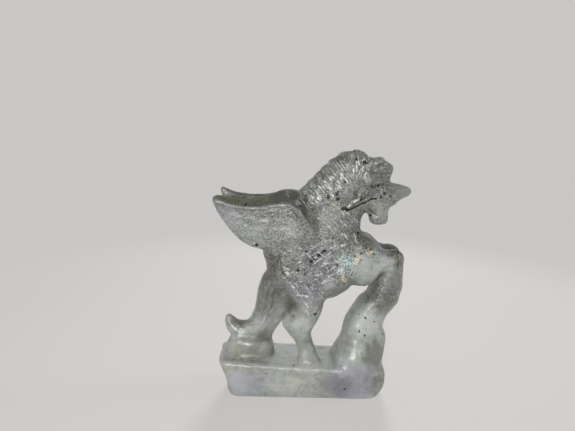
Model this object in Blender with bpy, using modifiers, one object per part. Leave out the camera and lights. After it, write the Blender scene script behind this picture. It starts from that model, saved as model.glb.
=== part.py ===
"""Winged horse with a stub of a horn, rearing over a tree stump on a plinth, carved from one stone.

Sizes are in millimetres and become metres where vertices are made. The horse faces +X, its left
side is +Y, +Z is up, and the origin is the middle of the plinth's underside. Tables give x from
the horse's own zero and heights from the plinth's top, so the figure moves with the plinth.
The forms are skinned one by one, fused, filled at their creases, grooved and reduced.
"""

import math

import bmesh
import bpy
import numpy as np
from mathutils import Matrix, Vector

MM = 0.001
NAME = "pegasus_carving"
STONE_COLOUR = (0.42, 0.46, 0.42, 1.0)
STONE_ROUGHNESS = 0.3

# Plinth, lower under the horse's head than under its tail.
PLINTH_LENGTH = 38.8
PLINTH_DEPTH = 11.8
PLINTH_HEIGHT = 8.0
PLINTH_FALL = 1.8
PLINTH_CORNER = 2.4
PLINTH_SAW_ALLOWANCE = 1.0
PLINTH_CORNER_POINTS = 7
# Share of the height, then how far the tail end, the head end and the sides draw in there.
PLINTH_PROFILE = [
    (0.00, 2.5, 2.6, 0.8),
    (0.08, 2.2, 1.7, 0.6),
    (0.30, 1.9, 0.8, 0.5),
    (0.55, 1.4, 0.4, 0.4),
    (0.80, 0.6, 0.6, 0.2),
    (0.95, 0.0, 0.9, 0.0),
    (1.00, 0.3, 1.2, 0.4),
]
# Where the horse's own zero lies behind the middle of the plinth.
HORSE_SETBACK = 0.9

# Sections of the rounded forms: 2 is an ellipse, less is sharper at its ridges, more is squarer.
ROUND = 2.0
HEAD_SQUARENESS = 2.6
MANE_SQUARENESS = 1.7
STUMP_SQUARENESS = 2.8
TAIL_REST_SQUARENESS = 3.6
SECTION_SIDES = 28
STATION_STEPS = 5
# Degrees round the dome that closes each end, and how far the muzzle's dome stands out.
DOME_TILTS = (20, 45, 70)
FULL_DOME = 1.0
MUZZLE_DOME = 0.45

# Each station is x, y, height, half size in the plane of the horse, half size across it.
TORSO = [
    (-4.0, 0.0, 22.8, 4.0, 5.2),
    (-1.0, 0.0, 21.6, 6.6, 5.9),
    (4.0, 0.0, 21.8, 7.7, 6.0),
    (8.3, 0.0, 24.2, 7.2, 6.0),
    (12.0, 0.0, 25.2, 5.4, 4.9),
]
CROUP = [
    (-4.2, 0.0, 27.4, 4.4, 5.5),
    (-4.3, 0.0, 24.8, 4.4, 5.5),
    (-3.6, 0.0, 22.4, 3.8, 5.0),
]
NECK = [
    (4.6, 0.0, 27.0, 6.6, 6.0),
    (5.8, 0.0, 31.0, 7.0, 5.2),
    (7.1, 0.0, 35.4, 6.3, 4.1),
    (9.0, 0.0, 39.0, 6.2, 3.3),
    (11.4, 0.0, 41.2, 5.2, 2.9),
]
HEAD = [
    (13.6, 0.0, 43.8, 4.4, 2.5),
    (14.2, 0.0, 41.6, 4.4, 2.8),
    (14.6, 0.0, 39.4, 4.3, 3.0),
    (15.1, 0.0, 37.0, 3.7, 2.8),
    (16.2, 0.0, 35.2, 2.6, 2.3),
    (16.7, 0.0, 33.9, 2.2, 2.1),
    (16.75, 0.0, 32.8, 2.1, 2.0),
]
CHEEK = [
    (9.4, 0.0, 37.6, 1.2, 3.0),
    (11.2, 0.0, 38.8, 2.0, 3.5),
    (13.4, 0.0, 39.8, 1.8, 3.2),
]
HORN = [
    (17.2, 0.0, 38.6, 2.9, 2.0),
    (18.8, 0.0, 38.6, 2.85, 1.8),
    (20.0, 0.0, 39.0, 2.3, 1.5),
    (21.2, 0.0, 39.2, 1.8, 1.3),
    (22.3, 0.0, 39.3, 1.35, 1.1),
    (22.8, 0.0, 39.3, 1.15, 1.0),
]
MANE = [
    (1.3, 0.0, 36.9, 3.0, 2.9),
    (4.4, 0.0, 40.1, 3.1, 2.9),
    (7.2, 0.0, 42.9, 3.1, 2.8),
    (9.4, 0.0, 44.6, 3.0, 2.6),
    (11.8, 0.0, 45.2, 2.8, 2.5),
]
FORELEG = [
    (9.4, 2.0, 24.6, 5.0, 2.8),
    (12.0, 2.5, 24.2, 5.8, 3.0),
    (14.4, 2.7, 24.0, 5.6, 2.9),
    (16.2, 2.8, 24.2, 4.4, 2.7),
    (17.6, 2.6, 24.65, 2.5, 2.4),
    (19.0, 2.5, 24.95, 1.8, 2.2),
    (20.4, 2.4, 25.2, 1.75, 2.1),
    (21.1, 2.3, 25.1, 1.55, 2.0),
]
STUMP = [
    (13.6, 0.0, -5.0, 6.0, 5.6),
    (13.4, 0.0, 0.2, 5.9, 5.9),
    (14.4, 0.0, 3.6, 5.3, 5.2),
    (14.9, 0.0, 6.0, 5.0, 4.6),
    (14.6, 0.0, 8.6, 4.4, 4.3),
    (15.4, 0.0, 10.8, 4.1, 4.1),
    (16.5, 0.0, 12.6, 4.2, 4.0),
    (17.7, 0.0, 14.2, 4.35, 4.0),
    (18.75, 0.0, 15.8, 3.6, 4.0),
    (19.4, 0.0, 18.2, 3.5, 3.9),
    (19.85, 0.0, 21.0, 2.95, 3.8),
    (20.3, 0.0, 23.4, 2.5, 3.6),
]
NEAR_HIND_LEG = [
    (0.6, -1.6, 21.0, 4.6, 2.6),
    (1.2, -2.2, 17.4, 4.4, 2.9),
    (1.7, -2.6, 14.0, 3.5, 2.8),
    (0.2, -2.6, 10.6, 4.1, 2.6),
    (-0.4, -2.6, 8.8, 3.7, 2.3),
    (-0.1, -2.6, 7.2, 2.7, 2.1),
    (0.5, -2.6, 5.8, 2.3, 1.9),
    (1.2, -2.6, 4.2, 2.1, 1.8),
    (1.8, -2.6, 2.4, 2.2, 1.9),
    (2.5, -2.6, -0.4, 2.8, 2.4),
]
FAR_HIND_LEG = [
    (-2.6, 1.0, 19.0, 4.2, 3.4),
    (-3.8, 1.0, 14.6, 4.7, 3.4),
    (-5.6, 1.4, 11.0, 3.4, 3.0),
    (-7.2, 1.6, 7.6, 2.8, 2.6),
    (-8.6, 1.7, 4.6, 2.4, 2.3),
    (-9.0, 1.7, 2.6, 2.5, 2.4),
    (-9.3, 1.7, 0.4, 2.9, 2.7),
]
TAIL = [
    (-3.9, 0.0, 21.4, 2.8, 4.9),
    (-6.6, 0.0, 17.6, 2.7, 4.0),
    (-7.5, 0.0, 13.8, 2.6, 3.0),
    (-8.2, 0.0, 10.4, 2.5, 2.6),
    (-10.0, 0.0, 7.2, 2.4, 2.5),
    (-12.8, 0.0, 6.1, 2.3, 2.3),
    (-15.0, 0.0, 6.9, 1.9, 2.0),
    (-16.2, 0.0, 8.5, 1.3, 1.5),
    (-16.4, 0.0, 9.2, 1.0, 1.2),
]
TAIL_REST = [
    (-13.7, -0.2, 2.4, 3.2, 3.2),
    (-11.0, -0.2, 2.2, 3.2, 3.4),
    (-8.6, -0.2, 2.0, 2.8, 3.2),
]
# The forelock swept over the brow, as x and height round its edge.
FORELOCK = [(11.4, 42.6), (12.9, 46.4), (13.6, 46.4), (15.3, 46.6), (16.8, 47.0), (17.4, 46.0),
            (18.4, 45.4), (19.5, 44.7), (18.9, 42.8), (18.3, 41.6), (15.0, 41.0)]
FORELOCK_THICKNESS = 5.0
# Which points of that edge the grooves between its locks run to.
FORELOCK_TIPS = (3, 5, 7)
# How far the outline grows at each level across the forelock, from one face to the other.
FORELOCK_LEVELS = [(-1.0, 0.72), (-0.8, 0.9), (-0.3, 1.0), (0.3, 1.0), (0.8, 0.9), (1.0, 0.72)]
FORELOCK_ROOT = (14.2, 43.4)

# Wing edges as x and height, from the tip to the shoulder.
WING_TOP = [(-19.0, 38.2), (-17.8, 38.9), (-15.0, 38.6), (-12.0, 38.5), (-8.5, 38.9), (-3.4, 40.0),
            (0.5, 38.8), (4.0, 36.0), (7.2, 32.4), (9.6, 28.0), (10.8, 25.0)]
WING_LOW = [(-19.0, 38.2), (-18.6, 36.8), (-17.8, 34.8), (-16.2, 32.3), (-14.4, 30.0), (-12.8, 28.6),
            (-10.8, 27.5), (-8.6, 26.8), (-6.4, 25.9), (-4.9, 24.0), (-3.9, 22.0), (-2.1, 20.4), (0.3, 19.3),
            (3.5, 19.1), (6.1, 19.8), (8.1, 21.2), (10.8, 25.0)]
WING_SPREAD = 7.0
WING_SECTIONS = 64
# Share of a half turn at the first and last section, which spaces them closer at both ends.
WING_SWEEP = (0.03, 0.97)
EDGE_STEPS = 8
WING_TIP_THICKNESS = 1.9
WINGS_THICKEN_AT = -10.0
WINGS_MEET_AT = -1.5
WING_SHOULDER_AT = -2.5
WING_SHOULDER_DRAW = 3.4
# How much lower the far wing's top edge lies, as x and drop.
FAR_WING_DROP = [(-19.0, -0.7), (-17.5, 0.1), (-16.0, 0.5), (-13.7, 0.8), (-8.5, 1.2)]
# Depth of the bevel under the wing's top edge, as x and depth: it opens out where the wing rolls
# over into the neck.
WING_BEVEL = [(-18.7, 1.0), (-15.0, 1.9), (-9.0, 2.4), (-4.0, 2.6), (-1.0, 3.6), (3.0, 7.6), (7.0, 8.4),
              (10.8, 5.0)]
WING_BEVEL_MOST = 0.62
# A section of the wing: share of the thickness in from the outer face, then share of the way down,
# over the bevel, then over the outer face below it, then up the inner face from the lower edge.
WING_BEVEL_ROWS = [(0.8, 0.0), (0.55, 0.2), (0.28, 0.6), (0.0, 1.0)]
WING_FACE_ROWS = [(0.03, 0.4), (0.12, 0.72), (0.32, 0.93), (0.6, 1.0)]
WING_INNER_ROWS = [(0.92, 0.9), (1.0, 0.65), (1.0, 0.35), (1.0, 0.12)]

# Grooves, as x and height along each, on both flanks. Feathers lie between the ridge and the edge.
GROOVE_HALF_WIDTH = 0.55
GROOVE_DEPTH = 0.3
HAIR_DEPTH = 0.16
FEATHER_SHARES = (0.22, 0.42, 0.62, 0.82)
FEATHER_POINTS = 18
FEATHERS_FROM = -17.2
FEATHERS_TO = 1.0
FEATHER_DEPTH = 0.15
# The lowest feather's course, which leaves the wing's edge for the shoulder.
FEATHER_GUIDE = [(-18.2, 36.0), (-16.2, 32.3), (-12.8, 28.8), (-9.0, 27.2), (-4.5, 25.6), (1.0, 24.4)]
MANE_PITCH = 2.1
MANE_TOOTH = 0.7
# Share of a full tooth at the withers, how fast a tooth rises and how evenly it falls.
MANE_FIRST_TOOTH = 0.4
MANE_TOOTH_RISE = 6.0
MANE_TOOTH_FALL = 0.8
MANE_STEPS = 14
MANE_GROOVE_REACH = 2.4
JAW = [(7.8, 35.6), (9.9, 36.0), (11.2, 36.9), (12.4, 37.8), (13.6, 38.3), (15.0, 38.4)]
MANE_BORDER = [(4.2, 36.9), (5.7, 37.4), (7.5, 38.8), (8.7, 40.3), (9.7, 41.6), (11.3, 42.2),
               (12.8, 42.7), (13.8, 43.7)]
BORDER_HALF_WIDTH = 0.9
MOUTH = [(14.3, 35.4), (15.1, 34.6), (16.0, 34.2)]
EYE = (15.3, 40.9)
EYE_RADIUS = 1.1
NOSTRIL = (17.6, 35.6)
NOSTRIL_RADIUS = 0.5
HOOF = [(19.3, 27.2), (20.6, 25.4), (20.8, 22.8)]
TAIL_STREAKS = 3
TAIL_STREAK = [(-6.4, 19.6), (-7.3, 16.6), (-8.0, 13.1), (-9.0, 9.8), (-11.2, 7.4), (-14.0, 6.9)]
STREAK_SPACING = 1.5
FLANK_EDGE = 4.4
# A groove's depth where it starts and ends, and how soon it reaches the whole of it.
GROOVE_END_DEPTH = 0.3
GROOVE_RUN_IN = 6.0
# How squarely the skin must face outward to be grooved: the crest all round, the rest at the sides.
CREST_FACING = -0.4
SIDE_FACING = 0.2
WING_FACING = 0.1

VOXEL = 0.25
SOFTEN_ROUNDS = 6
FILL_ROUNDS = 60
FILL_RATE = 0.5
SOFTEN_RATE = 0.08
TRIANGLES = 10900
SAW_SIZE = 160.0


def remove_everything():
    for obj in list(bpy.data.objects):
        bpy.data.objects.remove(obj)


def spline(points, steps):
    """Points on a Catmull-Rom curve through the given rows of numbers, which keeps the rows."""
    rows = np.array(points, float)
    padded = np.vstack([2 * rows[0] - rows[1], rows, 2 * rows[-1] - rows[-2]])
    found = []
    for i in range(len(rows) - 1):
        a, b, c, d = padded[i:i + 4]
        for t in np.arange(steps) / steps:
            found.append(0.5 * (2 * b + (c - a) * t + (2 * a - 5 * b + 4 * c - d) * t**2
                                + (3 * b - a - 3 * c + d) * t**3))
    found.append(rows[-1])
    return np.array(found)


def superellipse(sides, power):
    """Cosine and sine round a closed ring: power 2 is an ellipse, and more is squarer."""
    turn = np.arange(sides) * math.tau / sides
    c, s = np.cos(turn), np.sin(turn)
    return np.sign(c) * np.abs(c) ** (2 / power), np.sign(s) * np.abs(s) ** (2 / power)


def form(name, rings, start, end):
    """A closed mesh object skinned over rings of points, with a point that closes each end."""
    place = Vector((-HORSE_SETBACK, 0, PLINTH_HEIGHT))
    bm = bmesh.new()
    loops = [[bm.verts.new((Vector(p) + place) * MM) for p in ring] for ring in rings]
    for low, high in zip(loops, loops[1:]):
        for i, (a, b) in enumerate(zip(low, high)):
            bm.faces.new((a, low[i - 1], high[i - 1], b))
    for loop, tip in ((loops[0], start), (loops[-1], end)):
        point = bm.verts.new((Vector(tip) + place) * MM)
        for i, corner in enumerate(loop):
            bm.faces.new((corner, loop[i - 1], point))
    bmesh.ops.recalc_face_normals(bm, faces=bm.faces)
    mesh = bpy.data.meshes.new(name)
    bm.to_mesh(mesh)
    bm.free()
    return bpy.data.objects.new(name, mesh)


def path(stations, side, upright, steps):
    """Rows along a form's path, with the directions along it, upright in its section and across."""
    rows = spline(stations, steps)
    rows[:, 1] *= side
    along = np.gradient(rows[:, :3], axis=0)
    along /= np.linalg.norm(along, axis=1)[:, None]
    if upright is not None:
        return rows, along, np.tile(upright, (len(rows), 1)), np.tile((0.0, 1.0, 0.0), (len(rows), 1))
    across = np.array([0.0, 1.0, 0.0]) - along * along[:, 1:2]
    across /= np.linalg.norm(across, axis=1)[:, None]
    return rows, along, np.cross(along, across), across


def limb(name, stations, side=1.0, upright=None, power=ROUND, teeth=None, steps=STATION_STEPS,
         end_length=FULL_DOME):
    """A tapering rounded form through the stations, with domed ends.

    upright fixes the direction of the in-plane half size, which is otherwise square to the path.
    side -1 moves the form to the other flank. teeth(distance) adds to the upright side.
    """
    rows, along, upward, across = path(stations, side, upright, steps)
    u, v = superellipse(SECTION_SIDES, power)
    travelled = np.cumsum(np.linalg.norm(np.diff(rows[:, :3], axis=0), axis=1))
    extra = teeth(np.append(0.0, travelled)) if teeth else np.zeros(len(rows))

    def ring(i, shift, scale):
        reach = (rows[i, 3] + extra[i] * np.clip(u, 0, 1) ** 2) * scale
        middle = rows[i, :3] + along[i] * shift
        return middle + np.outer(u * reach, upward[i]) + np.outer(v * rows[i, 4] * scale, across[i])

    first = min(rows[0, 3:5])
    last = min(rows[-1, 3:5]) * end_length
    tilts = np.radians(DOME_TILTS)
    rings = [ring(0, -first * math.sin(a), math.cos(a)) for a in tilts[::-1]]
    rings += [ring(i, 0, 1) for i in range(len(rows))]
    rings += [ring(-1, last * math.sin(a), math.cos(a) ** end_length) for a in tilts]
    start = rings[len(tilts)].mean(axis=0) - along[0] * first
    return form(name, rings, start, rows[-1, :3] + along[-1] * last)


def plinth():
    """The block, waisted at the sides, with its top face falling towards the horse's head."""
    quarter = np.radians(np.linspace(0, 90, PLINTH_CORNER_POINTS))
    corner = np.stack([np.cos(quarter), np.sin(quarter)], axis=1) - 1
    rings = []
    profile = [(None, *PLINTH_PROFILE[0][1:])] + PLINTH_PROFILE
    for share, tail_in, head_in, side_in in profile:
        half = PLINTH_DEPTH / 2 - side_in
        head = PLINTH_LENGTH / 2 - head_in
        tail = PLINTH_LENGTH / 2 - tail_in
        eased = corner * PLINTH_CORNER
        upper = [(head + x, half + y) for x, y in eased] + [(-tail - x, half + y) for x, y in eased[::-1]]
        outline = np.array(upper + [(x, -y) for x, y in upper[::-1]])
        fall = PLINTH_FALL * outline[:, 0] / PLINTH_LENGTH
        height = -PLINTH_SAW_ALLOWANCE if share is None else share * (PLINTH_HEIGHT - fall)
        depth = np.broadcast_to(height - PLINTH_HEIGHT, len(outline))
        rings.append(np.stack([outline[:, 0] + HORSE_SETBACK, outline[:, 1], depth], axis=1))
    bottom = (HORSE_SETBACK, 0, -PLINTH_HEIGHT - PLINTH_SAW_ALLOWANCE)
    return form("plinth", rings, bottom, (HORSE_SETBACK, 0, 0))


def eased_step(value, low, high):
    """0 below low, 1 above high, and an eased rise between."""
    t = np.clip((value - low) / (high - low), 0, 1)
    return t * t * (3 - 2 * t)


def wing_edges(x, side):
    """Height of the wing's top and lower edge at x."""
    top, low = spline(WING_TOP, EDGE_STEPS), spline(WING_LOW, EDGE_STEPS)
    drop = np.interp(x, *np.transpose(FAR_WING_DROP)) * (side > 0)
    return np.interp(x, top[:, 0], top[:, 1]) - drop, np.interp(x, low[:, 0], low[:, 1])


def wing_bevel(x, chord):
    return np.minimum(np.interp(x, *np.transpose(WING_BEVEL)), WING_BEVEL_MOST * chord)


def wing(name, side):
    """One wing, skinned over upright sections from its tip to the shoulder."""
    tip_x, root_x = WING_TOP[0][0], WING_TOP[-1][0]
    rings = []
    for turn in np.linspace(*WING_SWEEP, WING_SECTIONS) * math.pi:
        x = tip_x + (root_x - tip_x) * (1 - math.cos(turn)) / 2
        top, low = wing_edges(x, side)
        chord = top - low
        outer = WING_SPREAD - WING_SHOULDER_DRAW * eased_step(x, WING_SHOULDER_AT, root_x)
        grown = eased_step(x, WINGS_THICKEN_AT, WINGS_MEET_AT)
        thick = WING_TIP_THICKNESS + (outer - WING_TIP_THICKNESS) * grown
        bevel = wing_bevel(x, chord)
        ring = [(inward, down * bevel) for inward, down in WING_BEVEL_ROWS]
        ring += [(inward, bevel + down * (chord - bevel)) for inward, down in WING_FACE_ROWS]
        ring += [(inward, down * chord) for inward, down in WING_INNER_ROWS]
        rings.append(np.array([(x, (outer - inward * thick) * side, top - down) for inward, down in ring]))
    return form(name, rings, rings[0].mean(axis=0), rings[-1].mean(axis=0))


def forelock():
    """The flat lock of mane that overhangs the brow, with its edge eased on both faces."""
    outline = np.array(FORELOCK)
    middle = outline.mean(axis=0)
    half = FORELOCK_THICKNESS / 2
    rings = []
    for level, scale in FORELOCK_LEVELS:
        flat = middle + (outline - middle) * scale
        rings.append(np.stack([flat[:, 0], np.full(len(flat), level * half), flat[:, 1]], axis=1))
    return form("forelock", rings, (middle[0], -half, middle[1]), (middle[0], half, middle[1]))


def mane_teeth(distance):
    """Scallops along the crest, which grow towards the poll."""
    phase = (distance / MANE_PITCH) % 1.0
    growth = MANE_FIRST_TOOTH + (1 - MANE_FIRST_TOOTH) * distance / distance[-1]
    rise = np.clip(phase * MANE_TOOTH_RISE, 0, 1)
    return MANE_TOOTH * growth * rise * (1 - phase) ** MANE_TOOTH_FALL


def forms():
    level, sideways = (1.0, 0.0, 0.0), (0.0, 0.0, 1.0)
    return [
        plinth(),
        limb("torso", TORSO),
        limb("croup", CROUP, upright=level),
        limb("neck", NECK),
        limb("head", HEAD, upright=level, power=HEAD_SQUARENESS, end_length=MUZZLE_DOME),
        limb("cheek", CHEEK),
        limb("horn", HORN),
        limb("mane", MANE, power=MANE_SQUARENESS, steps=MANE_STEPS, teeth=mane_teeth),
        limb("near_foreleg", FORELEG, side=-1.0, upright=sideways),
        limb("far_foreleg", FORELEG, upright=sideways),
        limb("stump", STUMP, upright=level, power=STUMP_SQUARENESS),
        limb("near_hind_leg", NEAR_HIND_LEG, upright=level),
        limb("far_hind_leg", FAR_HIND_LEG, upright=level),
        limb("tail", TAIL),
        limb("tail_rest", TAIL_REST, power=TAIL_REST_SQUARENESS),
        forelock(),
        wing("near_wing", -1.0),
        wing("far_wing", 1.0),
    ]


def fused(made):
    """All the forms as one closed skin: its points in millimetres, its four-sided faces and edges."""
    bm = bmesh.new()
    for obj in made:
        bm.from_mesh(obj.data)
        bpy.data.objects.remove(obj)
    mesh = bpy.data.meshes.new("forms")
    bm.to_mesh(mesh)
    bm.free()
    whole = bpy.data.objects.new("forms", mesh)
    bpy.context.scene.collection.objects.link(whole)
    remesh = whole.modifiers.new("fuse", "REMESH")
    remesh.mode = "VOXEL"
    remesh.voxel_size = VOXEL * MM
    smooth = whole.modifiers.new("soften", "SMOOTH")
    smooth.iterations = SOFTEN_ROUNDS
    skin = whole.evaluated_get(bpy.context.evaluated_depsgraph_get()).to_mesh()
    points = np.empty(len(skin.vertices) * 3)
    faces = np.empty(len(skin.loops), int)
    edges = np.empty(len(skin.edges) * 2, int)
    skin.vertices.foreach_get("co", points)
    skin.loops.foreach_get("vertex_index", faces)
    skin.edges.foreach_get("vertices", edges)
    bpy.data.objects.remove(whole)
    return points.reshape(-1, 3) / MM, faces.reshape(-1, 4), edges.reshape(-1, 2)


def gathered(index, values, size):
    return np.stack([np.bincount(index, weights=values[:, k], minlength=size) for k in range(3)], axis=1)


def normals_of(points, faces):
    a, b, c, d = (points[faces[:, k]] for k in range(4))
    facing = np.cross(c - a, d - b)
    found = gathered(faces.ravel(), np.repeat(facing, 4, axis=0), len(points))
    return found / np.linalg.norm(found, axis=1)[:, None]


def creases_filled(points, faces, edges):
    """Hollows drawn out towards their neighbours' middle as a carver's fillets, the rest kept."""
    near, far = np.vstack([edges, edges[:, ::-1]]).T
    share = 1 / np.bincount(near, minlength=len(points))[:, None]
    for _ in range(FILL_ROUNDS):
        pull = gathered(near, points[far], len(points)) * share - points
        hollow = (pull * normals_of(points, faces)).sum(axis=1) > 0
        points = points + pull * np.where(hollow, FILL_RATE, SOFTEN_RATE)[:, None]
    return points


def line_distance(spots, line):
    """Distance of each spot from the line, and how far along the line its nearest point lies."""
    line = np.array(line, float)
    if len(line) == 1:
        return np.linalg.norm(spots - line[0], axis=1), np.full(len(spots), 0.5)
    best = np.full(len(spots), np.inf)
    share = np.zeros(len(spots))
    for i, (a, b) in enumerate(zip(line, line[1:])):
        t = np.clip((spots - a) @ (b - a) / ((b - a) @ (b - a)), 0, 1)
        away = np.linalg.norm(spots - a - t[:, None] * (b - a), axis=1)
        closer = away < best
        best[closer] = away[closer]
        share[closer] = (i + t[closer]) / (len(line) - 1)
    return best, share


def feathers(side):
    """Lines between the wing's ridge and its lowest feather, the ridge itself first."""
    x = np.linspace(FEATHERS_FROM, FEATHERS_TO, FEATHER_POINTS)
    top, low = wing_edges(x, side)
    ridge = top - wing_bevel(x, top - low)
    guide = spline(FEATHER_GUIDE, EDGE_STEPS)
    lowest = np.interp(x, guide[:, 0], guide[:, 1])
    return [np.stack([x, ridge + (lowest - ridge) * share], axis=1) for share in (0.0, *FEATHER_SHARES)]


def mane_grooves():
    """A groove down each side of the neck from every notch of the crest."""
    rows, _, upward, _ = path(MANE, 1.0, None, MANE_STEPS)
    travelled = np.append(0.0, np.cumsum(np.linalg.norm(np.diff(rows[:, :3], axis=0), axis=1)))
    found = []
    for distance in np.arange(MANE_PITCH, travelled[-1], MANE_PITCH):
        i = np.searchsorted(travelled, distance)
        middle, up = rows[i, (0, 2)], upward[i, (0, 2)]
        found.append([middle + up * (rows[i, 3] + MANE_TOOTH), middle - up * MANE_GROOVE_REACH])
    return found


def streaks(line, count):
    """Copies of a line side by side, square to its own run."""
    line = spline(line, STATION_STEPS)
    run = np.gradient(line, axis=0)
    square = np.stack([-run[:, 1], run[:, 0]], axis=1) / np.linalg.norm(run, axis=1)[:, None]
    return [line + square * STREAK_SPACING * (k - (count - 1) / 2) for k in range(count)]


def grooved(points, faces):
    """The skin with its grooves cut and the wings' ridges raised."""
    normals = normals_of(points, faces)
    flat = points[:, (0, 2)] + (HORSE_SETBACK, -PLINTH_HEIGHT)
    outward = normals[:, 1] * np.sign(points[:, 1])
    on_flank = np.abs(points[:, 1]) > FLANK_EDGE
    locks = [[FORELOCK_ROOT, FORELOCK[k]] for k in FORELOCK_TIPS]
    over_the_crest, sideways = outward > CREST_FACING, outward > SIDE_FACING
    cuts = [(line, over_the_crest, HAIR_DEPTH, GROOVE_HALF_WIDTH) for line in mane_grooves() + locks]
    cuts += [(line, sideways, HAIR_DEPTH, GROOVE_HALF_WIDTH) for line in streaks(TAIL_STREAK, TAIL_STREAKS)]
    cuts += [(line, sideways, GROOVE_DEPTH, GROOVE_HALF_WIDTH) for line in (JAW, MOUTH)]
    cuts.append((HOOF, sideways, HAIR_DEPTH, GROOVE_HALF_WIDTH))
    cuts.append((MANE_BORDER, sideways, HAIR_DEPTH, BORDER_HALF_WIDTH))
    cuts.append(([EYE], sideways, GROOVE_DEPTH, EYE_RADIUS))
    cuts.append(([NOSTRIL], sideways, GROOVE_DEPTH, NOSTRIL_RADIUS))
    for side in (-1.0, 1.0):
        here = on_flank & (outward > WING_FACING) & (points[:, 1] * side > 0)
        ridge, *lines = feathers(side)
        cuts.append((ridge, here, -GROOVE_DEPTH, GROOVE_HALF_WIDTH))
        cuts += [(line, here, FEATHER_DEPTH, GROOVE_HALF_WIDTH) for line in lines]
    sunk = np.zeros(len(points))
    for line, where, depth, half_width in cuts:
        away, share = line_distance(flat[where], line)
        profile = np.clip(1 - away / half_width, 0, 1)
        faded = np.clip(np.minimum(share, 1 - share) * GROOVE_RUN_IN + GROOVE_END_DEPTH, 0, 1)
        sunk[where] += depth * profile * faded
    return points - normals * sunk[:, None]


def saw():
    """What is sawn off below the plinth, so that it stands flat."""
    size = SAW_SIZE * MM
    bm = bmesh.new()
    bmesh.ops.create_cube(bm, size=size, matrix=Matrix.Translation((0, 0, -size / 2)))
    mesh = bpy.data.meshes.new("saw")
    bm.to_mesh(mesh)
    bm.free()
    cutter = bpy.data.objects.new("saw", mesh)
    cutter.hide_render = True
    cutter.display_type = "WIRE"
    return cutter


def stone():
    material = bpy.data.materials.new("labradorite")
    material.use_nodes = True
    shader = material.node_tree.nodes["Principled BSDF"]
    shader.inputs["Base Color"].default_value = STONE_COLOUR
    shader.inputs["Roughness"].default_value = STONE_ROUGHNESS
    return material


def carving(points, faces, cutter):
    """The finished stone, reduced to fewer faces and sawn flat underneath."""
    mesh = bpy.data.meshes.new(NAME)
    mesh.from_pydata((points * MM).tolist(), [], faces.tolist())
    mesh.materials.append(stone())
    mesh.shade_smooth()
    whole = bpy.data.objects.new(NAME, mesh)
    reduce = whole.modifiers.new("reduce", "DECIMATE")
    reduce.ratio = TRIANGLES / (2 * len(faces))
    flatten = whole.modifiers.new("flatten", "BOOLEAN")
    flatten.operation = "DIFFERENCE"
    flatten.object = cutter
    return whole


def main():
    remove_everything()
    figurine = bpy.data.collections.new("pegasus_figurine")
    cutters = bpy.data.collections.new("cutters")
    for collection in (figurine, cutters):
        bpy.context.scene.collection.children.link(collection)
    points, faces, edges = fused(forms())
    points = grooved(creases_filled(points, faces, edges), faces)
    cutter = saw()
    cutters.objects.link(cutter)
    figurine.objects.link(carving(points, faces, cutter))


main()
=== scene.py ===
"""The winged horse dressed as hand-carved labradorite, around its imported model.

Places are in the part's own frame, in millimetres: x along the horse, y across it and z up. A
place drawn on the flanks is given as x and z.
"""

import math

import bpy
import numpy as np
from mathutils import Color, Matrix, Vector

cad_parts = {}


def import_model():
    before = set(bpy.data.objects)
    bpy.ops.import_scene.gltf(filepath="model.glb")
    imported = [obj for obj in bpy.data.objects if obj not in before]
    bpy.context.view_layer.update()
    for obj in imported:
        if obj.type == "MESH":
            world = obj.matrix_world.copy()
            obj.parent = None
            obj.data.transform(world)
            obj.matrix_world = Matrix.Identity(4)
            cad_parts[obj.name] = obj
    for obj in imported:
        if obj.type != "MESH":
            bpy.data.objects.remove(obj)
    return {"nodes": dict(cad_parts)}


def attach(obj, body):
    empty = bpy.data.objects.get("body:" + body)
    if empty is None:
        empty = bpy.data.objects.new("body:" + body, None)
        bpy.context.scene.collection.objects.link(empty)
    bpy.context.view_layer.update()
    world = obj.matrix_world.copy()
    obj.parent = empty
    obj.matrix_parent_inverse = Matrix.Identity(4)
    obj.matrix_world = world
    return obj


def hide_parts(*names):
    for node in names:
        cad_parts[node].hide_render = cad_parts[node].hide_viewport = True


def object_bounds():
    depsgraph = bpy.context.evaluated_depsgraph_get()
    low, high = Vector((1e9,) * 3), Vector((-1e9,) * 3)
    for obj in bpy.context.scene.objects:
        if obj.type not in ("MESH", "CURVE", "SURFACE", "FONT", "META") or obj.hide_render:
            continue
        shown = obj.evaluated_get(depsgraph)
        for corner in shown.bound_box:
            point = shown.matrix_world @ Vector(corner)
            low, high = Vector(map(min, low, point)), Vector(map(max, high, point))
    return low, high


MM = 0.001
CARVING = "pegasus_carving"

VOXEL = 0.2
SOFTEN_ROUNDS = 5
MOST_TRIANGLES = 190000
# Random waves: how many are summed, and how much shorter or longer than its size each may be.
WAVES = 24
WAVE_SPREAD = (0.7, 1.4)
# Seeds of the random draws.
CARVER_SEED = 5
WOBBLE_SEED = 11
MANE_SEED = 12
HAND_SEED = 20
DRIFT_SEEDS = (31, 32)

# The carver's uneven hand: height of the waves left on the surface, and their size.
HAND_WAVES = [(0.05, 3.6), (0.016, 1.3)]
PIT_COUNT = 60
PIT_RADIUS = (0.2, 0.4)
PIT_DEPTH = 0.1
# How squarely the skin must face outward to be carved: at the sides, and over the crest.
SIDE_FACING = (0.05, 0.45)
CREST_FACING = (-0.7, 0.0)
# How far strands stray from their course, in strands, and the size of the waves they stray in.
STRAND_WOBBLE = 0.3
WOBBLE_SIZE = 2.6
# Taken off the height of rounded strands, so that they hardly raise or lower the skin.
STRAND_MEAN = 0.6

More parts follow.
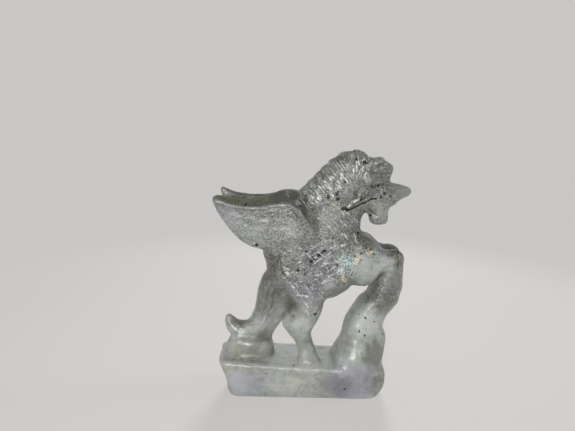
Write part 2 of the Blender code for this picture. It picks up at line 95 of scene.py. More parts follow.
MANE_MIDDLE = [
    (-2.6, 41.6), (0.4, 44.9), (3.5, 48.1), (6.3, 50.9), (8.5, 52.6), (10.9, 53.2), (14.0, 53.0),
]
MANE_ZONE = [
    (3.3, 44.9), (4.8, 45.4), (6.6, 46.8), (7.8, 48.3), (8.8, 49.6), (10.4, 50.2), (11.9, 50.7),
    (12.9, 51.7), (13.2, 58.0), (2.0, 58.2), (-5.0, 48.0), (-3.0, 44.6), (0.5, 43.9),
]
MANE_FADE = 0.9
MANE_PITCH = 0.62
MANE_RIDGE = 0.038
# How unevenly the strands stand up, and the size of the waves in which that changes.
MANE_UNEVEN = 0.4
MANE_UNEVEN_SIZE = 2.0
# Distance outside the mane's middle line over which its strands fade, and how much of them goes.
MANE_RIM = (0.8, 2.2)
MANE_RIM_LOSS = 0.6

WING_RIDGE = [
    (-19.9, 45.2), (-18.7, 45.6), (-15.9, 44.7), (-12.9, 44.2), (-9.6, 44.3), (-5.8, 44.9),
    (-3.9, 45.0), (-1.9, 43.9), (-0.4, 41.7), (3.1, 36.2),
]
WING_GUIDE = [(-19.1, 44.0), (-17.1, 40.3), (-13.7, 36.8), (-9.9, 35.2), (-5.4, 33.6), (0.1, 32.4)]
FAR_WING_DROP = [(-19.9, -0.7), (-18.4, 0.1), (-16.9, 0.5), (-14.6, 0.8), (-9.4, 1.2)]
WING_LEAST_DEPTH = 1.0
# How far from the middle the wing's outer face lies, and how far back its carving fades in.
WING_FACE = 4.4
WING_STARTS = (-2.5, 0.5)
# Smoothing of the wing below its ridge: rounds, share, and where on the way down it sets in.
WING_EASING = 16
WING_EASED = 0.85
WING_EASED_FROM = (0.04, 0.2)
FEATHERS = 18
FEATHER_RIDGE = 0.012
FEATHER_WOBBLE = 0.4
# Shares of the way down: where the feather lines fade in, where they end, and over how much.
FEATHERS_BEGIN = (0.0, 0.06)
FEATHERS_END = 1.08
FEATHERS_FADE = 0.1
# The wing's raised edge, how strongly a painted glint is laid along it, and in which of the wobble's
# waves.
RIDGE_LIP = 0.07
RIDGE_LIP_WIDTH = 0.35
LIP_PAINTED_GLINT = 0.5
LIP_GLINT_PATCHES = (-0.2, 0.8)

TAIL_LINE = [(-7.3, 27.6), (-8.2, 24.6), (-8.9, 21.1), (-9.9, 17.8), (-12.1, 15.4), (-14.9, 14.9)]
TAIL_HALF = 2.6
TAIL_FADE = 0.8
TAIL_PITCH = 0.8
TAIL_RIDGE = 0.018

FORELOCK_ZONE = [
    (10.5, 50.6), (12.0, 54.4), (14.4, 54.6), (15.9, 55.0), (16.5, 54.0), (17.5, 53.4), (18.6, 52.7),
    (18.0, 50.8), (17.4, 49.6), (14.1, 49.0),
]
FORELOCK_FADE = 0.8
FORELOCK_ROOT = (12.6, 50.6)
FORELOCK_RAYS = 34
FORELOCK_RIDGE = 0.008
FORELOCK_WOBBLE = 0.5

# Strength of the fine hairs along the carving, and the length that a share or a turn counts as.
FEATHER_COMB = 0.16
FEATHER_COMB_LENGTH = 7
TAIL_COMB = 0.22
FORELOCK_COMB = 0.3
FORELOCK_COMB_LENGTH = 4
STROKE_COMB = 0.22
STROKE_COMB_FADE = 1.5
# How much finer the hairs are across the strands than along them.
HAIR_FINENESS = (3.2, 0.7, 1.0)

# Where the knife left short strokes.
LOBE_ZONE = [
    (-5.6, 34.2), (-5.2, 31.8), (-4.5, 29.8), (-3.0, 28.4), (-0.6, 27.3), (2.6, 27.2), (5.1, 27.9),
    (7.4, 29.4), (9.4, 32.0), (9.8, 35.0), (7.0, 38.0), (2.0, 36.6), (-3.0, 36.0),
]
CHIPPED_ZONE = [(1.0, 35.4), (5.6, 35.8), (8.6, 32.6), (7.6, 29.6), (4.0, 27.8), (0.6, 29.6)]
THIGH_ZONE = [(-4.0, 27.6), (-3.2, 23.6), (0.0, 20.4), (3.4, 20.8), (5.2, 25.2), (1.0, 27.0)]
NECK_ZONE = [
    (3.0, 44.0), (4.2, 38.6), (8.0, 35.8), (12.0, 36.6), (12.4, 39.4), (9.0, 43.0), (6.6, 45.6),
]
# The strokes of each zone: their lean from the level in degrees, their number and their length.
STROKES = [
    (LOBE_ZONE, 30, 44, 1.9), (LOBE_ZONE, -42, 26, 2.2), (CHIPPED_ZONE, 32, 26, 1.6),
    (CHIPPED_ZONE, -38, 20, 1.9), (THIGH_ZONE, -60, 22, 2.0), (NECK_ZONE, -52, 26, 1.8),
]
STROKE_HALF_WIDTH = 0.2
STROKE_DEPTH = 0.07
STROKE_FADE = 1.2
# Scatter of a stroke's lean in degrees and of its length, and how far it is sunk or thrown up.
STROKE_SCATTER = 9
STROKE_LENGTHS = (0.5, 1.3)
STROKE_LIFTS = (-1.0, 0.8)

# Courses of the carved lines.
CHEEK_CRACK = [
    (8.0, 44.2), (8.4, 43.6), (9.2, 43.7), (10.3, 44.2), (11.3, 44.7), (12.4, 45.1), (13.0, 45.6),
    (13.7, 46.0), (14.6, 46.0),
]
CHEEK_LIP = [(8.7, 44.3), (9.4, 45.0), (10.1, 45.5), (11.0, 45.9)]
LID = [(14.0, 48.6), (15.3, 49.0), (16.2, 49.1), (17.0, 48.8)]
MOUTH = [(13.6, 43.2), (14.4, 42.4), (15.4, 42.1)]
NOSTRIL = [(16.6, 43.4), (16.9, 43.7)]
HOOF = [(18.6, 35.4), (19.9, 33.6), (20.1, 30.9)]
LOBE_EDGE = [(-5.7, 33.8), (-5.5, 31.0), (-4.8, 29.3), (-3.4, 28.3), (-1.6, 27.7), (0.7, 27.1)]
LOBE_RIM = [(-4.9, 31.2), (-4.5, 30.3), (-3.9, 29.6)]
THIGH_GLINT = [(-2.0, 24.9), (-0.9, 24.8), (0.5, 24.6)]
# Each line, how far it is raised (below zero sunk), and its half width.
CUTS = [
    (CHEEK_CRACK, -0.2, 0.24), (CHEEK_LIP, 0.2, 0.42), (LID, -0.14, 0.3), (MOUTH, -0.12, 0.3),
    (NOSTRIL, -0.18, 0.36), (HOOF, -0.14, 0.3), (LOBE_EDGE, -0.3, 0.9), (LOBE_RIM, 0.08, 0.4),
    (THIGH_GLINT, 0.1, 0.3),
]
# Half width of the ink in the cheek's crack, and its strength at the middle.
CRACK_HALF = 0.4
CRACK_INK = 0.6
# Round dimples: x, z, radius, depth.
DIMPLES = [(10.4, 47.1, 0.75, 0.22), (15.2, 47.7, 0.5, 0.12)]

# Black inclusions on the near flank: x, z, radius.
INCLUSIONS = [
    (4.4, 46.2, 0.55), (6.1, 46.9, 0.42), (6.4, 45.9, 0.5), (7.5, 43.9, 0.45), (8.3, 43.6, 0.36),
    (11.4, 45.8, 0.38), (13.7, 46.0, 0.3), (12.0, 45.0, 0.3), (9.9, 44.0, 0.3), (11.9, 53.6, 0.55),
    (10.1, 54.2, 0.36), (7.8, 49.5, 0.33), (6.5, 47.4, 0.3), (13.5, 48.7, 0.34), (14.9, 48.9, 0.34),
    (13.7, 47.4, 0.3), (16.3, 47.2, 0.36), (15.6, 46.4, 0.34), (13.9, 42.1, 0.32), (-12.8, 45.0, 0.34),
    (-10.5, 36.4, 0.45), (3.8, 35.2, 0.5), (3.3, 34.8, 0.4), (2.6, 34.2, 0.48), (1.5, 33.3, 0.34),
    (1.0, 32.8, 0.42), (-1.7, 30.8, 0.4), (-0.1, 30.5, 0.32), (-0.4, 30.0, 0.3), (5.6, 37.9, 0.34),
    (6.4, 32.2, 0.34), (-0.1, 35.1, 0.34), (11.7, 34.6, 0.34), (12.7, 35.7, 0.3), (13.6, 35.5, 0.34),
    (14.2, 34.5, 0.34), (10.4, 34.0, 0.3), (11.1, 38.4, 0.36), (20.0, 34.6, 0.4), (2.3, 20.4, 0.45),
    (13.5, 19.4, 0.36), (12.3, 16.3, 0.32), (10.1, 19.4, 0.34), (-3.3, 11.3, 0.45),
]
# Where small specks gather: x, z, radius, strength.
CLUSTERS = [
    (6.6, 46.2, 2.4, 0.7), (9.6, 43.6, 1.5, 0.9), (8.8, 48.6, 1.6, 0.5), (15.3, 48.9, 2.2, 0.6),
    (11.4, 54.2, 2.0, 0.4), (12.4, 44.8, 2.4, 0.7), (17.2, 46.4, 1.8, 0.5), (15.6, 42.6, 1.6, 0.4),
    (5.9, 38.6, 2.8, 0.45), (3.6, 36.4, 2.0, 0.8), (-0.6, 31.4, 2.4, 0.4), (0.6, 34.6, 2.6, 0.35),
    (12.2, 36.2, 2.6, 0.6), (19.8, 35.0, 1.4, 0.4), (2.2, 20.6, 1.2, 0.5), (13.0, 18.6, 2.4, 0.4),
    (9.8, 20.6, 1.4, 0.5), (-3.4, 11.6, 1.4, 0.3), (3.3, 12.3, 1.4, 0.4), (-8.0, 42.6, 3.0, 0.2),
    (0.4, 40.6, 3.0, 0.2),
]
# Tinted places: x, z, radius, strength.
LILAC = [
    (-16.4, 41.6, 4.4, 0.8), (2.4, 31.2, 7.0, 1.0), (0.6, 26.0, 5.2, 1.0), (15.6, 51.6, 4.2, 1.0),
    (10.6, 3.6, 9.0, 1.0), (-13.4, 3.6, 6.5, 0.9), (7.4, 38.0, 3.6, 0.5), (8.6, 48.6, 3.6, 0.7),
    (3.0, 44.6, 3.4, 0.5), (10.4, 30.6, 3.0, 0.7),
]
# Olive places: partly the stone's own olive, partly painted shade in pockets and valleys between parts.
OLIVE_AND_PAINTED_SHADE = [
    (9.6, 46.4, 3.6, 0.8), (12.6, 38.0, 4.0, 1.1), (-8.0, 23.0, 5.0, 0.7), (-9.0, 11.4, 8.0, 0.6),
    (9.6, 20.6, 2.6, 0.7), (3.4, 41.4, 4.0, 0.7), (-7.4, 31.8, 4.0, 1.1), (17.4, 2.0, 3.0, 0.5),
    (19.4, 33.6, 3.4, 0.9), (6.6, 55.0, 3.4, 0.9), (1.6, 51.0, 2.8, 0.9), (-15.4, 17.4, 4.0, 0.8),
    (20.6, 46.8, 3.8, 0.7), (-2.6, 21.4, 3.0, 0.8), (12.4, 40.2, 2.4, 1.0), (-5.0, 38.6, 4.0, 0.5),
    (-8.4, 28.4, 3.6, 0.8), (14.6, 47.6, 2.6, 0.5), (-1.4, 42.0, 3.0, 0.6), (15.4, 26.0, 4.0, 0.4),
]
WARM = [
    (-1.8, 3.6, 3.6, 0.75), (-0.4, 8.0, 2.6, 0.6), (6.4, 43.6, 2.2, 0.5), (-5.2, 22.6, 1.6, 0.5),
    (-16.0, 17.4, 3.0, 0.5), (-14.0, 8.4, 5.0, 0.4), (15.6, 43.2, 3.0, 0.6), (12.4, 35.6, 2.6, 0.4),
    (13.4, 37.6, 2.6, 0.4), (12.2, 45.0, 2.6, 0.4),
]
# The blue and gold flash is a sheen that shifts with the angle, painted here as fixed colour.
FLASH = [(9.2, 32.6, 2.8, 1.0), (8.0, 30.8, 2.0, 0.8), (-1.0, 47.8, 1.8, 0.45), (14.6, 34.6, 1.2, 0.4)]
GOLD = [(11.1, 33.4, 1.0, 1.0), (10.7, 32.3, 0.7, 0.9), (7.8, 29.1, 1.5, 1.0), (13.4, 34.6, 0.8, 0.7)]
# Paler patches, above zero, and darker ones, below, partly the stone's clouding and partly painted light
# and shade: x, z, radius, strength.
CLOUDS_AND_PAINTED_SHADING = [
    (-15.0, 4.0, 6.0, 0.7), (-4.0, 4.0, 7.0, 0.55), (6.6, 3.0, 6.0, -0.5), (17.4, 5.0, 4.6, -0.75),
    (-0.8, 18.4, 3.4, 1.0), (14.0, 18.6, 4.4, 1.1), (17.4, 24.0, 5.0, -1.0), (16.2, 11.0, 4.4, -1.2),
    (12.0, 15.8, 3.2, 0.6), (11.0, 4.0, 6.0, -0.3), (-3.6, 22.0, 3.0, -0.8), (12.8, 31.2, 5.4, 0.85),
    (17.4, 31.8, 3.4, 0.9), (2.6, 31.0, 5.4, -0.9), (14.0, 38.0, 3.4, -0.3), (9.4, 38.6, 3.0, -0.6),
    (11.0, 47.6, 3.6, -0.7), (15.6, 51.4, 4.4, -1.1), (-2.6, 45.4, 3.6, -0.8), (-11.0, 46.5, 2.4, -0.8),
    (-6.6, 46.8, 2.4, -0.8), (-3.0, 40.0, 3.2, 0.4), (20.0, 34.8, 2.4, -1.0), (-8.0, 26.0, 4.6, -0.7),
    (-9.0, 20.0, 4.0, -0.7), (2.0, 9.4, 5.0, 0.3), (10.0, 8.6, 4.0, 0.5), (-16.4, 41.0, 4.6, 0.5),
    (-10.4, 38.8, 6.0, 0.5), (4.6, 28.4, 3.2, 1.0), (0.4, 29.4, 3.4, 0.6), (-2.6, 34.4, 3.4, 0.4),
    (-4.6, 39.0, 3.6, 0.4), (-8.0, 32.2, 3.6, -0.9), (13.8, 48.6, 3.0, -0.6), (-15.6, 15.6, 3.0, -0.5),
    (-15.4, 17.4, 3.0, -0.9), (20.6, 46.8, 3.6, 0.4), (15.8, 43.4, 3.0, 0.5), (4.6, 41.4, 3.4, 0.3),
    (8.0, 50.4, 4.0, 0.4), (-13.0, 9.6, 5.0, -0.6), (0.6, 13.6, 2.4, -0.5),
]
# Places worn smooth: x, z, radius, strength.
SMOOTHED = [
    (-17.0, 42.0, 6.0, 0.6), (-10.4, 40.0, 6.0, 0.35), (-9.0, 20.0, 7.6, 0.8), (-8.0, 27.0, 5.4, 0.7),
    (-2.0, 22.0, 4.4, 0.5), (15.6, 51.8, 4.4, 0.95), (20.6, 46.8, 4.2, 0.9), (18.6, 30.0, 5.2, 0.85),
    (14.0, 30.2, 4.2, 0.9), (12.8, 39.6, 3.2, 0.8), (12.6, 43.0, 2.6, 0.5), (9.6, 47.2, 2.4, 0.5),
    (4.0, 51.6, 2.6, 0.7), (9.4, 54.8, 2.6, 0.6), (16.0, 43.0, 2.6, 0.5),
]
# Share of its radius over which such a place fades, and how far and in what waves it is bent.
PATCH_FADE = 0.8
DRIFT = 0.5
DRIFT_SIZE = 2.4
# A number that goes both ways is kept on the points between 0 and 1, about this middle.
MIDDLE = 0.5
# How deep a point lies: strength, and the rounds of smoothing that give its surroundings.
HOLLOWS = [(3.0, 8), (0.6, 50)]
# The bevel over the wing's ridge, painted olive as shade: its height there, where it starts, and how
# smooth it is.
BEVEL_RISE = 0.7
BEVEL_ABOVE = 42
BEVEL_SMOOTH = 0.8
# Height over which the finely scratched horse gives way to the smoother stump and plinth.
SCRATCHED = (15.0, 30.0)
# Where upward faces low down are painted paler, as painted light: how far up, how squarely they face up,
# and how much paler.
PAINTED_LIGHT_TOP = 12.0
PAINTED_LIGHT_FACING = (0.5, 0.9)
PAINTED_LIGHT_PALE = 0.4

# The stone's noises: scale to the millimetre, detail, roughness and distortion.
NOISES = {
    "cloud": (0.2, 4.0, 0.55, 0.5),
    "curd": (0.8, 5.0, 0.68, 0.3),
    "vein": (0.3, 3.0, 0.5, 0.8),
    "fine": (1.7, 4.0, 0.65, 0.0),
    "grain": (3.4, 3.0, 0.7, 0.0),
    "hair": (1.0, 2.0, 0.7, 0.0),
}
# Specks: cells to the millimetre, the share of cells that hold one, and its radius in cells.
SPECKS = {
    # Painted glints: small white specks.
    "painted_glint": (1.5, 0.3, 0.18),
    "small": (1.2, 0.75, 0.32),
    "lone": (0.5, 0.2, 0.14),
    "dust": (0.9, 0.45, 0.13),
}
SPECK_CORE = 0.6
# Tones are in the 0 to 255 levels of a screen.
WHITE = 255
GROUND_DARK = (141, 148, 136)
GROUND_PALE = (160, 162, 161)
GROUND_RISE = (0.36, 0.64)
# Colours laid over the ground: where the value starts and is full, the share, and the tone.
LAYERS = {
    "pale curd": (0.5, 0.66, 0.45, (184, 188, 186)),
    "dark curd": (0.5, 0.34, 0.45, (108, 112, 102)),
    "lilac": (0.05, 0.9, 0.9, (149, 149, 160)),
    "vein": (0.016, 0.0, 0.35, (196, 198, 196)),
    "olive_and_shade": (0.05, 1.1, 1.0, (102, 102, 80)),
    "warm": (0.3, 0.6, 1.0, (190, 183, 168)),
    "shade": (0.5, 0.0, 0.7, (94, 94, 88)),
    # The sunk tone is painted shade in the hollows, and the proud tone a painted highlight on what
    # stands proud.
    "sunk": (0.52, 0.75, 1.0, (70, 72, 56)),
    "proud": (0.48, 0.25, 0.35, (190, 193, 190)),
    "milky": (0.5, 1.1, 1.0, (182, 186, 184)),
    "pale grit": (0.54, 0.62, 0.42, (210, 213, 210)),
    "dark grit": (0.45, 0.38, 0.75, (46, 49, 38)),
    # Pale streaks along the strands: painted glints.
    "painted hair glints": (0.55, 0.62, 0.85, (236, 238, 236)),
    "dark hair": (0.46, 0.36, 0.7, (62, 64, 54)),
    # The chalk tone is partly chalky scratch marks and partly painted glints along lips and ridges.
    "chalk_and_painted_glints": (0.35, 0.6, 1.0, (236, 237, 235)),
    # The flash and gold tones are a painted sheen.
    "flash": (0.38, 0.62, 0.9, (204, 230, 230)),
    "gold": (0.35, 0.6, 0.9, (236, 214, 162)),
}
OLIVE_PATCHES = (0.1, 0.6)
# Strength of the painted shade in the hollows: low down, and what it gains on the horse.
HOLLOW_SHADE_LOW = 0.4
HOLLOW_SHADE_GAIN = 0.4
# Strength of the milky clouds, laid where the patches are pale and so partly painted light: the least,
# and what the curds add.
MILKY_LEAST = 0.4
MILKY_CURD = 0.8
HORSE_SHADE = (192, 192, 190)
# Painted glints: white specks on the scratched stone.
PAINTED_GLINT_TONE = (240, 242, 240)
PAINTED_GLINT_SHARE = 0.7
INK_TONE = (9, 8, 7)
DUST_SHARE = 0.8
# How ragged the inclusions' edges are, where they start, and how the specks are scattered.
TORN = 1.3
PLACED_EDGE = (0.57, 0.62)
WANDER_SCALE = 1.4
# Dullness of the stone, and what each of its features adds to it.
DULL = 0.24
DULL_SCRATCHED = -0.12
DULL_FINE = 0.2
DULL_SUNK = 0.18
DULL_INK = 0.4
DULL_DEPTH = (0.5, 0.8)
# The finest relief: height, strength, and the share of each noise in it.
BUMP_HEIGHT = 0.08
BUMP_STRENGTH = 0.8
RELIEF_FINE = 0.3
SCRATCH_FINE = 2.0
SCRATCH_GRAIN = 0.12
# The stone's gloss, and the little light that enters it and comes out again.
STONE_SHADER = {
    "IOR": 1.5,
    "Subsurface Weight": 0.12,
    "Subsurface Radius": (1.0, 1.0, 0.85),
    "Subsurface Scale": 0.7 * MM,
}

CAMERA_PLACE = (-4.2, -97.3, 61.6)
CAMERA_TILT = 78.3
CAMERA_ROLL = 1.1
IMAGE_WIDTH = 575
FOCAL_PIXELS = 450
SENSOR = 36

BACKGROUND = (0.585, 0.571, 0.56, 1)
AMBIENT = 0.45
FLOOR_COLOUR = (0.7, 0.68, 0.66, 1)
FLOOR_GLOW = 0.6
FLOOR_RADIUS = 1500
FLOOR_SIDES = 96
FLOOR_FADE = (30, 170)
# Soft square lamps: name, place, aim, size, power, and whether the stone mirrors them.
LAMPS = [
    ("key", (-77, -392, 94), (0, 0, 24), 70, 1.1, True),
    ("back", (60, 400, 170), (0, 0, 26), 120, 1.7, False),
    ("side", (420, 60, 130), (0, 0, 26), 120, 0.5, False),
]


def gathered(index, values, size):
    return np.stack([np.bincount(index, weights=values[:, k], minlength=size) for k in range(3)], axis=1)


def eased(value, low, high):
    """0 below low, 1 above high, and an eased rise between."""
    t = np.clip((value - low) / (high - low), 0, 1)
    return t * t * (3 - 2 * t)


def ripple(spots, size, seed):
    """Smooth random waves of about one size, mostly between -1 and 1."""
    chance = np.random.default_rng(seed)
    ways = chance.normal(size=(WAVES, spots.shape[1]))
    lengths = np.linalg.norm(ways, axis=1)[:, None]
    ways *= math.tau / size * chance.uniform(*WAVE_SPREAD, (WAVES, 1)) / lengths
    starts = chance.uniform(0, math.tau, WAVES)
    return np.sin(spots @ ways.T + starts).sum(axis=1) / math.sqrt(WAVES)


class Skin:
    """A dense closed mesh of four-sided faces, held as arrays in millimetres."""

    def __init__(self, mesh):
        points = np.empty(len(mesh.vertices) * 3)
        faces = np.empty(len(mesh.loops), int)
        edges = np.empty(len(mesh.edges) * 2, int)
        mesh.vertices.foreach_get("co", points)
        mesh.loops.foreach_get("vertex_index", faces)
        mesh.edges.foreach_get("vertices", edges)
        self.points = points.reshape(-1, 3) / MM
        self.faces = faces.reshape(-1, 4)
        pairs = edges.reshape(-1, 2)
        self.near, self.far = np.vstack([pairs, pairs[:, ::-1]]).T
        self.share = 1 / np.bincount(self.near, minlength=len(self.points))[:, None]

    def normals(self):
        a, b, c, d = (self.points[self.faces[:, k]] for k in range(4))
        facing = np.cross(c - a, d - b)
        found = gathered(self.faces.ravel(), np.repeat(facing, 4, axis=0), len(self.points))
        return found / np.linalg.norm(found, axis=1)[:, None]

    def smoothed(self, rounds):
        points = self.points
        for _ in range(rounds):
            points = (points + gathered(self.near, points[self.far], len(points)) * self.share) / 2
        return points

    def hollow(self, rounds):
        """How deep each point lies below its smoothed surroundings, negative where it stands proud."""
        return ((self.smoothed(rounds) - self.points) * self.normals()).sum(axis=1)


def dense_skin(node):
    """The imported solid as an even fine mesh, with its facets smoothed away."""
    whole = bpy.data.objects.new("dense", node.data.copy())
    bpy.context.scene.collection.objects.link(whole)
    remesh = whole.modifiers.new("even", "REMESH")
    remesh.mode = "VOXEL"
    remesh.voxel_size = VOXEL * MM
    skin = Skin(whole.evaluated_get(bpy.context.evaluated_depsgraph_get()).to_mesh())
    bpy.data.objects.remove(whole)
    skin.points = skin.smoothed(SOFTEN_ROUNDS)
    return skin


def line_fields(spots, line):
    """Distance of each spot from the line, minus on its right, and how far along the line it lies."""
    line = np.array(line, float)
    runs = np.append(0.0, np.cumsum(np.linalg.norm(np.diff(line, axis=0), axis=1)))
    best = np.full(len(spots), np.inf)
    along = np.zeros(len(spots))
    side = np.ones(len(spots))
    for i, (a, b) in enumerate(zip(line, line[1:])):
        step = b - a
        t = np.clip((spots - a) @ step / (step @ step), 0, 1)
        off = spots - a - t[:, None] * step
        away = np.linalg.norm(off, axis=1)
        closer = away < best
        best[closer] = away[closer]
        along[closer] = (runs[i] + t * np.linalg.norm(step))[closer]
        side[closer] = np.where(step[0] * off[:, 1] > step[1] * off[:, 0], 1.0, -1.0)[closer]
    return best * side, along


def inside(spots, corners, fade):
    """1 inside the closed outline and 0 outside it, eased over the fade."""
    corners = np.array(corners, float)
    crossings = np.zeros(len(spots), int)
    for a, b in zip(corners, np.roll(corners, -1, axis=0)):
        crosses = (a[1] > spots[:, 1]) != (b[1] > spots[:, 1])
        slope = (b[0] - a[0]) / ((b[1] - a[1]) or 1.0)
        crossings += crosses & (spots[:, 0] < a[0] + (spots[:, 1] - a[1]) * slope)
    away = np.abs(line_fields(spots, [*corners, corners[0]])[0])
    return eased(np.where(crossings % 2 == 1, away, -away), -fade / 2, fade / 2)


def ridges(phase):
    """Rounded strands with sharp valleys between, about zero, one to each whole number."""
    return np.abs(np.sin(math.pi * phase)) - STRAND_MEAN


def strokes(flat, zone, lean, count, length, chance):
    """Short straight knife strokes, some sunk and some thrown up."""
    low, high = np.min(zone, axis=0), np.max(zone, axis=0)
    lift = np.zeros(len(flat))
    for _ in range(count):
        middle = chance.uniform(low, high)
        turn = math.radians(lean + chance.normal(0, STROKE_SCATTER))
        half = length / 2 * chance.uniform(*STROKE_LENGTHS)
        reach = np.array([math.cos(turn), math.sin(turn)]) * half
        away = np.abs(line_fields(flat, [middle - reach, middle + reach])[0])
        lift += chance.choice(STROKE_LIFTS) * np.clip(1 - away / STROKE_HALF_WIDTH, 0, 1)
    return lift * inside(flat, zone, STROKE_FADE)


def pits(points, chance):
    """Small round pits at random points."""
    lift = np.zeros(len(points))
    for middle in points[chance.integers(0, len(points), PIT_COUNT)]:
        away = np.linalg.norm(points - middle, axis=1) / chance.uniform(*PIT_RADIUS)
        lift -= PIT_DEPTH * np.clip(1 - away * away, 0, 1)
    return lift


def wing_fields(points):
    """Height above the wing's ridge, and the share of the way down from it to the lowest feather."""
    x, y, z = points.T
    z = z + np.interp(x, *np.array(FAR_WING_DROP).T) * (y > 0)
    ridge = np.interp(x, *np.array(WING_RIDGE).T)
    lowest = np.interp(x, *np.array(WING_GUIDE).T)
    return z - ridge, (ridge - z) / np.maximum(ridge - lowest, WING_LEAST_DEPTH)


def worked(skin):
    """Carves the fine work into the skin. Returns each point's strand weight, its chalky scratches and
    painted glints, and its combed place.
    """
    points, normals = skin.points, skin.normals()
    flat = points[:, (0, 2)]
    outward = normals[:, 1] * np.sign(points[:, 1])
    sideways = eased(outward, *SIDE_FACING)
    chance = np.random.default_rng(CARVER_SEED)
    wobble = ripple(flat, WOBBLE_SIZE, WOBBLE_SEED)
    waves = enumerate(HAND_WAVES, HAND_SEED)
    lift = sum(height * ripple(points, size, seed) for seed, (height, size) in waves)
    weight = np.zeros(len(points))
    combed = np.zeros((len(points), 3))

    def comb(mask, across, along):
        stronger = mask > weight
        weight[stronger] = mask[stronger]
        combed[stronger] = np.stack([across, along, np.zeros(len(mask))], axis=1)[stronger]

    away, along = line_fields(flat, MANE_MIDDLE)
    mane = inside(flat, MANE_ZONE, MANE_FADE) * eased(outward, *CREST_FACING)
    mane *= 1 - MANE_RIM_LOSS * eased(away, *MANE_RIM)
    uneven = 1 + MANE_UNEVEN * ripple(flat, MANE_UNEVEN_SIZE, MANE_SEED)
    lift += MANE_RIDGE * mane * ridges(along / MANE_PITCH + STRAND_WOBBLE * wobble) * uneven
    comb(mane, along, away)

    above, share = wing_fields(points)
    wing = sideways * (np.abs(points[:, 1]) > WING_FACE) * eased(-points[:, 0], *WING_STARTS)
    smoother = WING_EASED * wing * eased(share, *WING_EASED_FROM)
    points = points + (skin.smoothed(WING_EASING) - points) * smoother[:, None]
    feathered = wing * eased(share, *FEATHERS_BEGIN) * eased(FEATHERS_END - share, 0.0, FEATHERS_FADE)
    lift += FEATHER_RIDGE * feathered * ridges(share * FEATHERS + FEATHER_WOBBLE * wobble)
    lip = wing * np.clip(1 - np.abs(above) / RIDGE_LIP_WIDTH, 0, 1)
    lift += RIDGE_LIP * lip
    comb(FEATHER_COMB * feathered, share * FEATHER_COMB_LENGTH, points[:, 0])

    away, along = line_fields(flat, TAIL_LINE)
    tail = sideways * eased(TAIL_HALF - np.abs(away), 0.0, TAIL_FADE)
    lift += TAIL_RIDGE * tail * ridges(away / TAIL_PITCH + STRAND_WOBBLE * wobble)
    comb(TAIL_COMB * tail, away, along)

    off = flat - FORELOCK_ROOT
    turn = np.arctan2(off[:, 1], off[:, 0])
    lock = sideways * inside(flat, FORELOCK_ZONE, FORELOCK_FADE)
    lift += FORELOCK_RIDGE * lock * ridges(turn / math.pi * FORELOCK_RAYS + FORELOCK_WOBBLE * wobble)
    comb(FORELOCK_COMB * lock, turn * FORELOCK_COMB_LENGTH, np.linalg.norm(off, axis=1))

    # Pale along the strokes and raised lines: partly chalky scratch marks, partly painted glints.
    chalk_and_painted_glints = np.zeros(len(points))
    for zone, lean, count, length in STROKES:
        cut = sideways * strokes(flat, zone, lean, count, length, chance)
        chalk_and_painted_glints = np.maximum(chalk_and_painted_glints, cut)
        lift += STROKE_DEPTH * cut
        cos, sin = math.cos(math.radians(lean)), math.sin(math.radians(lean))
        zoned = sideways * inside(flat, zone, STROKE_COMB_FADE)
        comb(STROKE_COMB * zoned, flat @ (-sin, cos), flat @ (cos, sin))
    for line, height, half_width in CUTS:
        cut = sideways * np.clip(1 - np.abs(line_fields(flat, line)[0]) / half_width, 0, 1)
        # Raised lines are painted pale along their crest: painted glints.
        chalk_and_painted_glints = np.maximum(chalk_and_painted_glints, cut * (height > 0))
        lift += height * cut
    for x, z, radius, depth in DIMPLES:
        away = np.linalg.norm(flat - (x, z), axis=1) / radius
        lift -= depth * sideways * np.clip(1 - away * away, 0, 1)
    lift += pits(points, chance)
    skin.points = points + normals * lift[:, None]
    # The wing's raised edge gets a broken painted glint.
    return weight, np.maximum(chalk_and_painted_glints, LIP_PAINTED_GLINT * lip * eased(wobble, *LIP_GLINT_PATCHES)), combed


def patched(flat, patches, join=np.maximum):
    """The strongest of the places at each point, or their sum, each fading to its rim."""
    found = np.zeros(len(flat))
    for x, z, radius, strength in patches:
        away = np.linalg.norm(flat - (x, z), axis=1) / radius
        found = join(found, strength * eased(1 - away, 0.0, PATCH_FADE))
    return found


def inked(points):
    """The near flank's inclusions and crack at each point: above zero inside them."""
    flat = points[:, (0, 2)]
    black = np.full(len(flat), -1.0)
    for x, z, radius in INCLUSIONS:
        black = np.maximum(black, 1 - np.linalg.norm(flat - (x, z), axis=1) / radius)
    black = np.maximum(black, CRACK_INK - np.abs(line_fields(flat, CHEEK_CRACK)[0]) / CRACK_HALF)
    return np.where(points[:, 1] < 0, black, -1.0)


